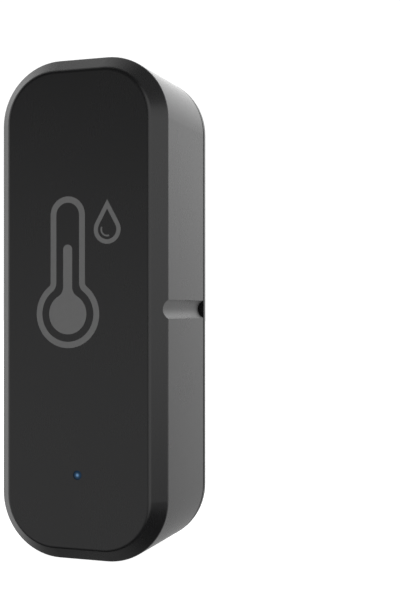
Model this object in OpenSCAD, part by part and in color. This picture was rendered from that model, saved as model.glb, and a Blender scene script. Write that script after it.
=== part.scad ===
// Upright battery sensor for room temperature and humidity.
// X runs across the face, Y runs from the face to the back and Z runs up.
// The origin is the centre of the base. Sizes are in millimetres.

/* [Case] */
// Width of the case
case_w = 25; // [24.6:0.1:30]
// Depth of the case, from its face to its back
case_d = 20; // [19.4:0.1:26]
// Height of the case
case_h = 70; // [68:0.5:84]
// Radius of the four rounded corners
corner_r = 8.9; // [7:0.1:9.6]
// Thickness of the side walls
wall_t = 1.7; // [1.3:0.05:1.8]
// Thickness of the face
face_t = 1.6; // [1.2:0.05:2.2]
// Width of the sloped rim, seen from the front
rim_w = 1.95; // [1.2:0.05:2.6]
// Depth of the sloped rim, seen from the side
rim_d = 2.2; // [1.2:0.05:3]
// Radius on the edge between the face and the sloped rim
rim_foot_r = 0.8; // [0.2:0.05:0.9]
// Radius on the edge between the sloped rim and the sides
rim_brow_r = 0.45; // [0.2:0.05:0.8]

/* [Rear cover] */
// Thickness of the cover plate
cover_t = 1.4; // [1.2:0.05:2]
// Radius of the cover's back edge
cover_edge_r = 0.7; // [0.3:0.05:1]
// Width of the shadow line between the case and the cover
seam_w = 0.35; // [0.2:0.05:0.5]
// Depth of the shadow line
seam_d = 0.2; // [0.1:0.05:0.3]
// Thickness of the lip that plugs into the case
lip_t = 1; // [0.7:0.05:1.3]
// Depth of the lip inside the case
lip_d = 2.2; // [1.6:0.1:3]
// Gap between the lip and the case wall
lip_gap = 0.2; // [0.1:0.05:0.3]
// Gap between the lip's grip ribs and the case wall
grip_gap = 0.05; // [0.02:0.01:0.08]
// Depth of the rib that reaches between the cells
cell_rib_d = 2.5; // [1:0.1:3]
// Thickness of that rib
cell_rib_t = 0.8; // [0.5:0.1:1.2]
// Width of the thumb scoop in the lower edge, where the cover is prised off
pry_w = 12; // [10:0.5:13]
// Depth of the thumb scoop
pry_d = 0.8; // [0.6:0.1:1.2]

/* [Side vent] */
// Width of the half-round channel on the right side
vent_w = 2.6; // [2:0.1:3.4]
// Depth of the channel
vent_d = 0.55; // [0.3:0.05:0.7]
// Radius of the round port at the end of the channel
port_r = 1.05; // [0.7:0.05:1.2]
// Distance from the back to the centre of the port
port_inset = 1.65; // [1.5:0.05:2.4]
// Depth of the air duct in the inner side of the wall
duct_d = 0.5; // [0.2:0.05:0.6]

/* [Face marks] */
// Depth of the printed marks, which lie flush in the face
mark_t = 0.12; // [0.06:0.02:0.3]
// Thermometer: distance of its axis from the middle of the face
thermo_x = -1.45; // [-2.5:0.05:0]
// Thermometer: height of its tip above the middle of the face
thermo_top = 15.62; // [12:0.02:18]
// Thermometer: height of the bulb's centre above the middle of the face
bulb_up = -0.65; // [-4:0.05:2]
// Thermometer: width of the tube
tube_w = 5.18; // [4:0.02:6.5]
// Thermometer: diameter of the bulb
bulb_d = 9.46; // [8:0.02:11]
// Thermometer: radius between the tube and the bulb
neck_r = 0.7; // [0.4:0.1:2]
// Thermometer: width of its outline
thermo_line = 0.87; // [0.5:0.01:1.2]
// Thermometer: width of the filled column
column_w = 1.36; // [0.8:0.02:1.8]
// Thermometer: radius between the filled column and the filled bulb
column_neck_r = 1.5; // [0.5:0.1:2.5]
// Thermometer: height of the column's top above the middle of the face
column_top = 8.96; // [6:0.02:11]
// Drop: distance of its axis from the middle of the face
drop_x = 4.44; // [3.8:0.02:6]
// Drop: height of its tip above the middle of the face
drop_top = 15.05; // [14:0.05:17]
// Drop: height of its round end's centre above the middle of the face
drop_up = 10.93; // [10:0.01:12]
// Drop: diameter of its round end
drop_d = 3.96; // [3:0.02:4.6]
// Drop: width of its outline
drop_line = 0.62; // [0.4:0.02:1]
// Drop: radius of the curved glint inside it
glint_r = 0.98; // [0.7:0.02:1.1]
// Drop: width of that glint
glint_line = 0.22; // [0.15:0.01:0.4]

/* [Indicator] */
// Height of the indicator light above the base
led_z = 12.1; // [10.5:0.1:16]
// Diameter of the light pipe's end in the face
pipe_d = 1.2; // [0.8:0.05:1.8]
// Diameter of the light pipe's flange behind the face
pipe_flange_d = 2.6; // [2.2:0.05:3.2]
// Thickness of that flange
pipe_flange_t = 0.6; // [0.4:0.05:0.9]
// Diameter of the light pipe behind its flange
pipe_neck_d = 1.9; // [1.2:0.05:2.1]
// Gap between the light pipe and its hole
pipe_gap = 0.03; // [0.02:0.01:0.08]
// Height of the LED on the board
led_t = 0.75; // [0.5:0.05:1.2]
// Width of the LED
led_w = 2; // [1.6:0.1:3]
// Length of the LED
led_h = 1.25; // [0.8:0.05:1.6]
// Gap between the LED and the light pipe
light_gap = 0.2; // [0.1:0.05:0.5]

/* [Cells] */
// Diameter of an AAA cell
cell_d = 10.3; // [9.8:0.1:10.5]
// Length of an AAA cell with its cap
cell_l = 44.3; // [43.3:0.1:44.5]
// Diameter of the cell's cap
cap_d = 3.8; // [3.2:0.1:3.8]
// Height of the cell's cap
cap_h = 1; // [0.8:0.1:1.4]
// Gap between the two cells
cell_gap = 0.3; // [0.1:0.05:0.5]
// Gap between the cells and the rear cover
cell_back_gap = 0.35; // [0.2:0.05:0.6]
// Least gap between a cell and the rounded corner inside the case
cell_side_gap = 0.15; // [0.05:0.05:0.2]

/* [Contacts] */
// Thickness of the contact plates
plate_t = 0.3; // [0.2:0.05:0.5]
// Width of the contact plate behind one cell
plate_w = 7; // [6:0.1:7.4]
// Reach of the contact plates from the cell axis towards the board
plate_reach = 3.4; // [2.8:0.1:3.6]
// Height of the bump that meets a cap
bump_h = 0.8; // [0.5:0.05:1.2]
// Diameter of the bump at its foot
bump_d = 4; // [3:0.1:5]
// Diameter of the bump at its top
bump_top_d = 2.4; // [1.6:0.1:2.8]
// Length of a contact spring with the cell in place
spring_h = 4; // [3.6:0.1:5]
// Diameter of the spring wire
wire_d = 0.5; // [0.4:0.02:0.56]
// Number of turns in a contact spring
spring_turns = 3.5; // [2.5:0.5:3.5]
// Mean diameter of the spring at its plate
spring_base_d = 5.4; // [4.4:0.1:5.6]
// Mean diameter of the spring at the cell
spring_tip_d = 3.4; // [2.8:0.1:4.2]
// Width of the solder tabs
tab_w = 1.6; // [1:0.1:2.4]
// Length of the solder tabs past the board
tab_out = 0.4; // [0.2:0.1:0.8]

/* [Battery tray] */
// Gap between the tray and the case wall
tray_gap = 0.25; // [0.15:0.05:0.3]
// Thickness of the tray floor under the cells
tray_floor_t = 0.75; // [0.6:0.05:1]
// Depth of the cradles that hold the cells
cradle_d = 2.8; // [1.8:0.1:3.6]
// Gap between a cell and its cradle
cradle_gap = 0.15; // [0.1:0.05:0.25]
// Thickness of the tray's end walls
end_wall_t = 1.2; // [0.8:0.1:1.4]
// Width of the rails that stand on the board
rail_w = 1.2; // [0.8:0.1:1.8]
// Thickness of the guides that hold the contact plates
guide_t = 0.6; // [0.4:0.05:0.8]
// Width by which a guide laps over its plate
guide_lap = 0.35; // [0.2:0.05:0.4]
// Gap between a guide and its plate
guide_gap = 0.1; // [0.05:0.05:0.15]

/* [Circuit board] */
// Thickness of the board
board_t = 1; // [0.8:0.1:1.2]
// Gap between the board and the case wall
board_gap = 0.35; // [0.2:0.05:0.5]
// Depth of the air notch in the board's edge
notch_d = 1.4; // [0.8:0.1:2]
// Width of the air notch
notch_w = 3; // [2:0.1:4]
// Width of the slots that keep heat away from the sensor chip
heat_slot_w = 0.8; // [0.5:0.1:1]
// Width and height of the sensor chip
sensor_w = 2.5; // [2:0.1:3]
// Thickness of the sensor chip
sensor_t = 0.9; // [0.6:0.1:1.2]
// Diameter of the sensor chip's air window
sensor_window_d = 1.1; // [0.6:0.1:1.6]
// Width of the ledges in the case that carry the board
ledge_w = 1.6; // [1:0.1:2]
// Thickness of those ledges
ledge_t = 1.2; // [0.8:0.1:1.6]

/* [Parts on the board] */
// Width of the regulator chip
regulator_w = 2.9; // [2.4:0.1:3.2]
// Height of the regulator chip above the board
regulator_t = 1.1; // [0.8:0.1:1.4]
// Width and length of the power inductor
inductor_w = 4; // [3:0.1:5]
// Height of the power inductor above the board
inductor_t = 1.8; // [1.2:0.1:2.6]
// Width of the reservoir capacitor
reservoir_w = 4.3; // [3.2:0.1:5]
// Length of the reservoir capacitor
reservoir_h = 6.8; // [5:0.1:7.2]
// Height of the reservoir capacitor above the board
reservoir_t = 2.7; // [1.6:0.1:2.9]
// Length of the chip capacitors and resistors
chip_l = 1.6; // [1:0.1:1.8]
// Width of the chip capacitors and resistors
chip_w = 0.8; // [0.5:0.1:1]
// Height of the chip capacitors
capacitor_t = 0.8; // [0.5:0.1:0.9]
// Height of the chip resistors
resistor_t = 0.5; // [0.3:0.1:0.6]

/* [Radio module] */
// Width of the radio board
radio_w = 15; // [13:0.5:16]
// Height of the radio board
radio_h = 18; // [16.5:0.5:19]
// Thickness of the radio board
radio_t = 0.8; // [0.6:0.1:1]
// Height of the shield can above the radio board
can_t = 2.2; // [1.8:0.1:2.4]
// Width of the shield can
can_w = 12.6; // [11:0.1:12.6]
// Length of the shield can
can_h = 11; // [9:0.5:12]
// Gap between the shield can and the face
radio_gap = 0.3; // [0.2:0.05:0.6]
// Distance from the top of the board to the radio board
radio_edge = 1.65; // [1.6:0.05:2.4]
// Width of the antenna's copper track
track_w = 0.6; // [0.4:0.05:0.8]

/* [Pairing button] */
// Width of the button's base
button_w = 6; // [5:0.1:6.5]
// Thickness of the button's base
button_base_t = 3.1; // [2.6:0.1:3.4]
// Thickness of the button's metal plate
button_plate_t = 0.3; // [0.2:0.05:0.4]
// Diameter of the plunger
plunger_d = 3.5; // [2.6:0.1:3.8]
// Height of the plunger's tip above the board
plunger_h = 7.6; // [5:0.1:8]
// Travel of the plunger
plunger_travel = 0.25; // [0.15:0.05:0.4]
// Gap between the plunger and the plate's hole
plunger_gap = 0.06; // [0.03:0.01:0.1]

/* [Screws] */
// Diameter of the tray screws
screw_d = 1.7; // [1.4:0.1:2]
// Diameter of the screw heads
screw_head_d = 3; // [2.6:0.1:3.2]
// Thickness of the screw heads
screw_head_t = 1.1; // [0.8:0.1:1.2]
// Wall of the bosses that take the screws
boss_wall = 1.05; // [0.8:0.05:1.3]
// Gap between a screw and its boss
thread_gap = 0.01; // [0.01:0.01:0.03]
// Gap between a screw and the holes that it passes through
screw_gap = 0.15; // [0.1:0.05:0.3]

/* [Hidden] */

$fn = 64;

// Overrun of a cut past the face it opens, and sinking of a rib into the wall that carries it
over = 1;
sink = 0.2;

// Planes along the depth of the case
face_y = -case_d / 2;
back_y = case_d / 2;
split_y = back_y - cover_t;
face_in_y = face_y + face_t;
board_front_y = face_in_y + radio_t + can_t + radio_gap;
board_rear_y = board_front_y + board_t;

// Inside of the case
mid_z = case_h / 2;
half_w = case_w / 2;
in_w = case_w - 2 * wall_t;
in_h = case_h - 2 * wall_t;
in_r = corner_r - wall_t;
corner_x = half_w - corner_r;

// Side vent: the channel's radius follows from its width and depth
vent_r = (vent_d * vent_d + vent_w * vent_w / 4) / (2 * vent_d);
port_y = back_y - port_inset;
vent_margin = 0.4;

// Cells: the lower shoulder sits where the rounded corner and the contacts under it leave room
cell_r = cell_d / 2;
cell_x = cell_r + cell_gap / 2;
cell_y = split_y - cell_back_gap - cell_r;
cell_edge = 0.4;
corner_room = max(0, cell_x + cell_r + cell_side_gap - corner_x);
corner_rest_z = corner_r - sqrt(max(0, in_r * in_r - corner_room * corner_room));
stack_rest_z = wall_t + tray_gap + end_wall_t + plate_t + bump_h + cap_h;
shoulder_z = max(corner_rest_z, stack_rest_z);
plate_low_z = shoulder_z - cap_h - bump_h;
plate_high_z = plate_low_z + bump_h + cell_l + spring_h;
seal_t = 0.2;
seal_edge = 0.8;
seal_gap = 0.1;

// Tray
tray_front_y = cell_y - cell_r - cradle_gap - tray_floor_t;
tray_rim_y = tray_front_y + tray_floor_t + cradle_d;
lip_front_y = split_y - lip_d;
lip_clear = 0.3;
tray_wall_y = lip_front_y - lip_clear;
tray_w = in_w - 2 * tray_gap;
wall_low_z = plate_low_z - plate_t;
wall_high_z = plate_high_z + plate_t;
tray_low_z = wall_low_z - end_wall_t;
tray_high_z = wall_high_z + end_wall_t;
rail_inset = 8;
guide_up = 1.5;
plate_setback = 0.3;
plate_rear_y = tray_wall_y - plate_setback;
plate_front_y = cell_y - plate_reach;
pocket_gap = 0.1;

// Board and what stands on it
board_w = in_w - 2 * board_gap;
board_h = in_h - 2 * board_gap;
board_r = in_r - board_gap;
board_top_z = mid_z + board_h / 2;
sensor_edge = 0.5;
sensor_x = board_w / 2 - notch_d - sensor_edge - sensor_w / 2;
radio_top_z = board_top_z - radio_edge;
radio_front_y = board_front_y - radio_t;
button_edge = 0.1;
button_room = 0.2;
button_z = min((tray_high_z + board_top_z) / 2, board_top_z - button_edge - button_w / 2);
led_top_y = board_front_y - led_t;
ledge_near = 9;
ledge_far = 20;
ledge_zs = [mid_z - ledge_far, mid_z - ledge_near, mid_z + ledge_near, mid_z + ledge_far];
tab_room = 0.2;

// Places of the parts on the board
power_down = 9;
power_z = mid_z - power_down;
regulator_x = 4.5;
inductor_x = -5;
reservoir_x = -5.5;
reservoir_up = 1;
reservoir_z = mid_z + reservoir_up;
boss_r = screw_d / 2 + boss_wall;
boss_room = 1.5;
chip_row_down = 14;
chip_row_z = mid_z - chip_row_down;
chip_row_x = boss_r + boss_room;
chip_pitch = 2;
chip_column_x = 7;
chip_column_z = board_top_z - board_r;

// Screws stand on the centre line, one above the indicator and one below the radio
screw_above_led = 8;
screw_zs = [led_z + screw_above_led, radio_top_z - radio_h - boss_r - boss_room];
seat_t = 1;
seat_y = tray_front_y + seat_t;
post_wall = 0.9;
post_r = screw_d / 2 + screw_gap + post_wall;
tip_room = 0.8;
screw_tip_y = face_in_y + tip_room;
bore_floor_t = 0.3;
bore_end_y = face_in_y + bore_floor_t;

// Corner points of a cross-section replaced by an arc of radius r, in n steps
function rounded_corner(before, corner, after, r, n) =
  let (
    u = (before - corner) / norm(before - corner),
    v = (after - corner) / norm(after - corner),
    half = acos(u * v) / 2,
    centre = corner + (u + v) / norm(u + v) * r / sin(half),
    from = corner + u * r / tan(half) - centre,
    to = corner + v * r / tan(half) - centre
  )
  [for (i = [0 : n])
    let (t = i / n)
    centre + (from * sin((1 - t) * (180 - 2 * half)) + to * sin(t * (180 - 2 * half))) / sin(180 - 2 * half)];

// Points on an arc about [x, z], with or without its first point
function arc(x, z, r, a0, a1, n, first = 0) =
  [for (i = [first : n])
    let (a = a0 + (a1 - a0) * i / n)
    [x + r * cos(a), z + r * sin(a)]];

// Cross-sections, as [distance from the corner's axis, y]
function plain_section(r, y0, y1) = [[0, y0], [r, y0], [r, y1], [0, y1]];

arc_steps = 6;
rim_foot = [corner_r - rim_w, face_y];
rim_brow = [corner_r, face_y + rim_d];
shell_section = concat(
  [[0, face_y]],
  rounded_corner([0, face_y], rim_foot, rim_brow, rim_foot_r, arc_steps),
  rounded_corner(rim_foot, rim_brow, [corner_r, split_y], rim_brow_r, arc_steps),
  [
    [corner_r, split_y - seam_w], [corner_r - seam_d, split_y - seam_w],
    [corner_r - seam_d, split_y], [0, split_y]
  ]
);
cavity_section = [
  [0, face_in_y], [in_r - rim_w, face_in_y], [in_r, face_in_y + rim_d],
  [in_r, split_y + over], [0, split_y + over]
];
cover_section = concat(
  [[0, split_y], [corner_r, split_y]],
  rounded_corner([corner_r, split_y], [corner_r, back_y], [0, back_y], cover_edge_r, arc_steps),
  [[0, back_y]]
);
lip_r = in_r - lip_gap;
lip_lead = 0.3;
lip_section = [
  [lip_r - lip_t, lip_front_y], [lip_r - lip_lead, lip_front_y], [lip_r, lip_front_y + lip_lead],
  [lip_r, split_y + sink], [lip_r - lip_t, split_y + sink]
];

// A body or a ring with a rounded-rectangle outline, w by h, carried round the cross-section given
module rounded_body(w, h, r, section, ring = false) {
  reach_x = w / 2 - r;
  reach_z = h / 2 - r;
  low_y = min([for (p = section) p[1]]);
  high_y = max([for (p = section) p[1]]);
  corners = [[1, -1], [-1, -1], [-1, 1], [1, 1]];
  translate([0, 0, mid_z]) {
    for (i = [0 : 3])
      translate([corners[i][0] * reach_x, 0, corners[i][1] * reach_z])
        rotate([0, 90 * i, 0])
          rotate([-90, 0, 0])
            rotate_extrude(angle = 90) polygon(section);
    for (side = [0, 1])
      mirror([side, 0, 0])
        translate([reach_x, 0, -reach_z]) linear_extrude(2 * reach_z) polygon(section);
    for (side = [0, 1])
      mirror([0, 0, side])
        translate([reach_x, 0, reach_z])
          rotate([0, -90, 0]) linear_extrude(2 * reach_x) polygon(section);
    if (!ring)
      translate([-reach_x, low_y, -reach_z]) cube([2 * reach_x, high_y - low_y, 2 * reach_z]);
  }
}

// A box given by its two corners
module box(low, high) {
  translate(low) cube(high - low);
}

// A round bar along Y, from y0 to y1, at x and z
module bar(x, z, y0, y1, r) {
  translate([x, y0, z]) rotate([-90, 0, 0]) cylinder(h = y1 - y0, r = r);
}

// A flat shape drawn on the face, x across and z up, from y0 to y1
module on_face(y0, y1) {
  translate([0, y1, 0]) rotate([90, 0, 0]) linear_extrude(y1 - y0) children();
}

// Thermometer outline, drawn in by the inset and closed by a round top at top_z,
// with the given radius between the tube and the bulb
function thermometer_points(inset, top_z, neck) =
  let (
    tube = tube_w / 2 - inset,
    bulb = bulb_d / 2 - inset,
    neck_x = tube + neck,
    neck_up = sqrt((bulb + neck) * (bulb + neck) - neck_x * neck_x),
    turn = atan2(neck_up, neck_x)
  )
  concat(
    arc(0, top_z - tube, tube, 0, 180, 24),
    arc(-neck_x, bulb_up + neck_up, neck, 0, -turn, 8),
    arc(0, bulb_up, bulb, 180 - turn, 360 + turn, 48, 1),
    arc(neck_x, bulb_up + neck_up, neck, 180 + turn, 180, 8, 1)
  );

// Drop outline, drawn in by the inset: a round end and two sides that meet in a tip
function drop_points(inset) =
  let (
    r = drop_d / 2 - inset,
    slope = asin(drop_d / 2 / (drop_top - drop_up))
  )
  concat([[0, r / sin(slope)]], arc(0, 0, r, 180 - slope, 360 + slope, 32));

module thermometer_shape() {
  translate([thermo_x, mid_z]) {
    difference() {
      polygon(thermometer_points(0, thermo_top, neck_r));
      polygon(thermometer_points(thermo_line, thermo_top - thermo_line, neck_r + thermo_line));
    }
    polygon(thermometer_points((tube_w - column_w) / 2, column_top, column_neck_r));
  }
}

module drop_shape() {
  glint_from = 156;
  glint_to = 290;
  translate([drop_x, mid_z + drop_up]) {
    difference() {
      polygon(drop_points(0));
      polygon(drop_points(drop_line));
    }
    polygon(concat(
      arc(0, 0, glint_r, glint_from, glint_to, 12),
      arc(0, 0, glint_r - glint_line, glint_to, glint_from, 12)
    ));
  }
}

// Case

module screw_bosses() {
  for (z = screw_zs) bar(0, z, face_in_y - sink, board_front_y, boss_r);
}

module board_ledges() {
  for (z = ledge_zs)
    for (side = [0, 1])
      mirror([side, 0, 0])
        box([in_w / 2 - ledge_w, face_in_y - sink, z - ledge_t / 2],
          [in_w / 2 + sink, board_front_y, z + ledge_t / 2]);
}

module pipe_collar() {
  collar_t = 1;
  collar_wall = 0.7;
  flange_r = pipe_flange_d / 2 + pipe_gap;
  difference() {
    bar(0, led_z, face_in_y - sink, face_in_y + collar_t, flange_r + collar_wall);
    bar(0, led_z, face_in_y, face_in_y + collar_t + over, flange_r);
  }
}

// Three ribs that close off the sensor chip from the warm parts of the board
module sensor_chamber() {
  rib_t = 0.8;
  room = 0.6;
  rib_gap = 0.15;
  inner_x = sensor_x - sensor_w / 2 - room;
  reach_z = max(notch_w, sensor_w) / 2 + room;
  top_y = board_front_y - rib_gap;
  box([inner_x - rib_t, face_in_y - sink, mid_z - reach_z - rib_t],
    [inner_x, top_y, mid_z + reach_z + rib_t]);
  for (side = [0, 1])
    translate([0, 0, mid_z])
      mirror([0, 0, side])
        box([inner_x - sink, face_in_y - sink, reach_z], [in_w / 2 + sink, top_y, reach_z + rib_t]);
}

// The channel outside the wall and the duct inside it, which the port joins
module vent_cuts() {
  bar(half_w - vent_d + vent_r, mid_z, face_y - over, split_y + over, vent_r);
  box([in_w / 2 - sink, board_front_y - over, mid_z - vent_w / 2],
    [in_w / 2 + duct_d, split_y + over, mid_z + vent_w / 2]);
}

// The round port from the duct to the channel, which the cover's edge closes at the back
module port_cut() {
  translate([in_w / 2 - sink, port_y, mid_z])
    rotate([0, 90, 0]) cylinder(h = half_w, r = port_r);
}

// Room for the cells where they come close to the side walls
module cell_reliefs() {
  for (side = [-1, 1])
    translate([side * cell_x, cell_y, shoulder_low_z])
      cylinder(h = shoulder_high_z - shoulder_low_z, r = cell_r + cell_side_gap / 2);
}

module front_shell() {
  color([0.09, 0.09, 0.095])
    difference() {
      union() {
        difference() {
          rounded_body(case_w, case_h, corner_r, shell_section);
          rounded_body(in_w, in_h, in_r, cavity_section);
        }
        screw_bosses();
        board_ledges();
        pipe_collar();
        sensor_chamber();
      }
      on_face(face_y - over, face_y + mark_t) thermometer_shape();
      on_face(face_y - over, face_y + mark_t) drop_shape();
      bar(0, led_z, face_y - over, face_in_y + over, pipe_d / 2 + pipe_gap);
      for (z = screw_zs) bar(0, z, bore_end_y, board_front_y + over, screw_d / 2 + thread_gap);
      vent_cuts();
      port_cut();
      cell_reliefs();
    }
}

module thermometer_mark() {
  color([0.37, 0.37, 0.37]) on_face(face_y, face_y + mark_t) thermometer_shape();
}

module drop_mark() {
  color([0.37, 0.37, 0.37]) on_face(face_y, face_y + mark_t) drop_shape();
}

module light_pipe() {
  color([0.35, 0.5, 0.75]) {
    bar(0, led_z, face_y, face_in_y + sink, pipe_d / 2);
    bar(0, led_z, face_in_y, face_in_y + pipe_flange_t, pipe_flange_d / 2);
    bar(0, led_z, face_in_y + sink, led_top_y - light_gap, pipe_neck_d / 2);
  }
}

// Circuit board

module main_board() {
  slot_past = 0.5;
  slot_gap = 0.4;
  slot_l = notch_w + 2 * slot_past;
  slot_x = sensor_x - sensor_w / 2 - slot_gap - heat_slot_w;
  color([0.05, 0.22, 0.13])
    difference() {
      rounded_body(board_w, board_h, board_r, plain_section(board_r, board_front_y, board_rear_y));
      for (z = screw_zs) bar(0, z, board_front_y - over, board_rear_y + over, screw_d / 2 + screw_gap);
      box([board_w / 2 - notch_d, board_front_y - over, mid_z - notch_w / 2],
        [board_w / 2 + over, board_rear_y + over, mid_z + notch_w / 2]);
      box([slot_x, board_front_y - over, mid_z - slot_l / 2],
        [slot_x + heat_slot_w, board_rear_y + over, mid_z + slot_l / 2]);
      for (side = [-1, 1])
        box([side * cell_x - tab_w / 2 - tab_room, board_front_y - over, wall_low_z - tab_room],
          [side * cell_x + tab_w / 2 + tab_room, board_rear_y + over, plate_low_z + tab_room]);
    }
}

// Parts on the board's front side stand towards the face
module on_front(x, z, w, t, h) {
  box([x - w / 2, board_front_y - t, z - h / 2], [x + w / 2, board_front_y, z + h / 2]);
}

// Parts on the board's rear side stand towards the back
module on_rear(x, z, w, t, h) {
  box([x - w / 2, board_rear_y, z - h / 2], [x + w / 2, board_rear_y + t, z + h / 2]);
}

module status_led() {
  lens_edge = 0.3;
  foot_t = 0.35;
  color([0.85, 0.87, 0.9]) {
    on_front(0, led_z, led_w, foot_t, led_h);
    on_front(0, led_z, led_w - 2 * lens_edge, led_t, led_h);
  }
}

module sensor_chip() {
  window_depth = 0.3;
  color([0.12, 0.12, 0.13])
    difference() {
      on_front(sensor_x, mid_z, sensor_w, sensor_t, sensor_w);
      bar(sensor_x, mid_z, board_front_y - sensor_t - over, board_front_y - sensor_t + window_depth,
        sensor_window_d / 2);
    }
}

module regulator_chip() {
  body_h = 1.6;
  leg_pitch = 0.95;
  leg_w = 0.4;
  leg_t = 0.2;
  leg_span = 2.8;
  color([0.1, 0.1, 0.1]) {
    on_front(regulator_x, power_z, regulator_w, regulator_t, body_h);
    for (i = [-1 : 1]) on_front(regulator_x + i * leg_pitch, power_z, leg_w, leg_t, leg_span);
  }
}

module power_inductor() {
  core_r = 1.2;
  core_depth = 0.3;
  top_y = board_front_y - inductor_t;
  color([0.2, 0.2, 0.22])
    difference() {
      on_front(inductor_x, power_z, inductor_w, inductor_t, inductor_w);
      bar(inductor_x, power_z, top_y - over, top_y + core_depth, core_r);
    }
}

module reservoir_capacitor() {
  foot_w = 2.4;
  foot_t = 1.2;
  foot_out = 0.25;
  color([0.75, 0.5, 0.1]) {
    on_front(reservoir_x, reservoir_z, reservoir_w, reservoir_t, reservoir_h);
    on_front(reservoir_x, reservoir_z, foot_w, foot_t, reservoir_h + 2 * foot_out);
  }
}

module chip_capacitors() {
  color([0.62, 0.5, 0.36]) {
    for (i = [-1 : 1]) on_rear(-chip_column_x, chip_column_z + chip_pitch * i, chip_l, capacitor_t, chip_w);
    for (i = [0 : 2]) on_front(-chip_row_x - chip_pitch * i, chip_row_z, chip_w, capacitor_t, chip_l);
  }
}

module chip_resistors() {
  color([0.08, 0.08, 0.08]) {
    for (i = [-2 : 1]) on_rear(chip_column_x, chip_column_z + chip_pitch * i, chip_l, resistor_t, chip_w);
    for (i = [0 : 2]) on_front(chip_row_x + chip_pitch * i, chip_row_z, chip_w, resistor_t, chip_l);
  }
}

module radio_board() {
  edge_hole_r = 0.35;
  edge_pitch = 1.5;
  edge_first = 1.2;
  edge_holes = 7;
  color([0.04, 0.1, 0.28])
    difference() {
      on_front(0, radio_top_z - radio_h / 2, radio_w, radio_t, radio_h);
      for (i = [0 : edge_holes - 1])
        for (side = [-1, 1])
          bar(side * radio_w / 2, radio_top_z - radio_h + edge_first + edge_pitch * i,
            radio_front_y - over, board_front_y + over, edge_hole_r);
    }
}

can_edge = 0.6;
can_low_z = radio_top_z - radio_h + can_edge;

module radio_can() {
  can_wall = 0.25;
  color([0.75, 0.76, 0.78])
    difference() {
      box([-can_w / 2, radio_front_y - can_t, can_low_z], [can_w / 2, radio_front_y, can_low_z + can_h]);
      box([-can_w / 2 + can_wall, radio_front_y - can_t + can_wall, can_low_z + can_wall],
        [can_w / 2 - can_wall, radio_front_y + over, can_low_z + can_h - can_wall]);
    }
}

// A flat track that runs up and down in equal legs above the shield can
module antenna_track() {
  track_t = 0.05;
  leg_count = 6;
  can_room = 0.8;
  edge_room = 0.6;
  low_z = can_low_z + can_h + can_room;
  high_z = radio_top_z - edge_room;
  pitch = (can_w - track_w) / (leg_count - 1);
  color([0.8, 0.6, 0.25])
    on_face(radio_front_y - track_t, radio_front_y) {
      for (i = [0 : leg_count - 1])
        translate([-can_w / 2 + pitch * i, low_z]) square([track_w, high_z - low_z]);
      for (i = [0 : leg_count - 2])
        translate([-can_w / 2 + pitch * i, i % 2 == 0 ? high_z - track_w : low_z])
          square([pitch + track_w, track_w]);
    }
}

// Pairing button

button_top_y = board_rear_y + button_base_t;
flange_lap = 0.45;
flange_r = plunger_d / 2 + flange_lap;
flange_t = 0.7;
flange_gap = 0.02;
well_gap = 0.15;
well_floor_t = 1.2;
well_floor_y = board_rear_y + well_floor_t;

module button_base() {
  color([0.07, 0.07, 0.07])
    difference() {
      on_rear(0, button_z, button_w, button_base_t, button_w);
      bar(0, button_z, well_floor_y, button_top_y + over, flange_r + well_gap);
    }
}

module button_plate() {
  color([0.72, 0.72, 0.7])
    difference() {
      box([-button_w / 2, button_top_y, button_z - button_w / 2],
        [button_w / 2, button_top_y + button_plate_t, button_z + button_w / 2]);
      bar(0, button_z, button_top_y - over, button_top_y + button_plate_t + over,
        plunger_d / 2 + plunger_gap);
    }
}

module button_terminals() {
  leg_l = 1.1;
  leg_w = 0.7;
  leg_t = 0.2;
  leg_edge = 0.75;
  leg_up = button_w / 2 - leg_edge;
  color([0.8, 0.8, 0.78])
    for (x = [-1, 1])
      for (z = [-1, 1])
        on_rear(x * (button_w + leg_l) / 2, button_z + z * leg_up, leg_l, leg_t, leg_w);
}

module button_plunger() {
  nub_r = 1;
  floor_gap = 0.05;
  flange_y = button_top_y - flange_gap;
  color([0.1, 0.1, 0.1]) {
    bar(0, button_z, flange_y - sink, board_rear_y + plunger_h, plunger_d / 2);
    bar(0, button_z, flange_y - flange_t, flange_y, flange_r);
    bar(0, button_z, well_floor_y + plunger_travel + floor_gap, flange_y - sink, nub_r);
  }
}

// Battery tray

module tray_solid() {
  box([-tray_w / 2, tray_front_y, tray_low_z], [tray_w / 2, tray_rim_y, tray_high_z]);
  box([-tray_w / 2, tray_front_y, tray_low_z], [tray_w / 2, tray_wall_y, wall_low_z]);
  box([-tray_w / 2, tray_front_y, wall_high_z], [tray_w / 2, tray_wall_y, tray_high_z]);
  for (z = screw_zs) bar(0, z, board_rear_y, tray_front_y + sink, post_r);
  for (side = [0, 1])
    mirror([side, 0, 0])
      box([tray_w / 2 - rail_w, board_rear_y, tray_low_z + rail_inset],
        [tray_w / 2, tray_front_y + sink, tray_high_z - rail_inset]);
}

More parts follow.
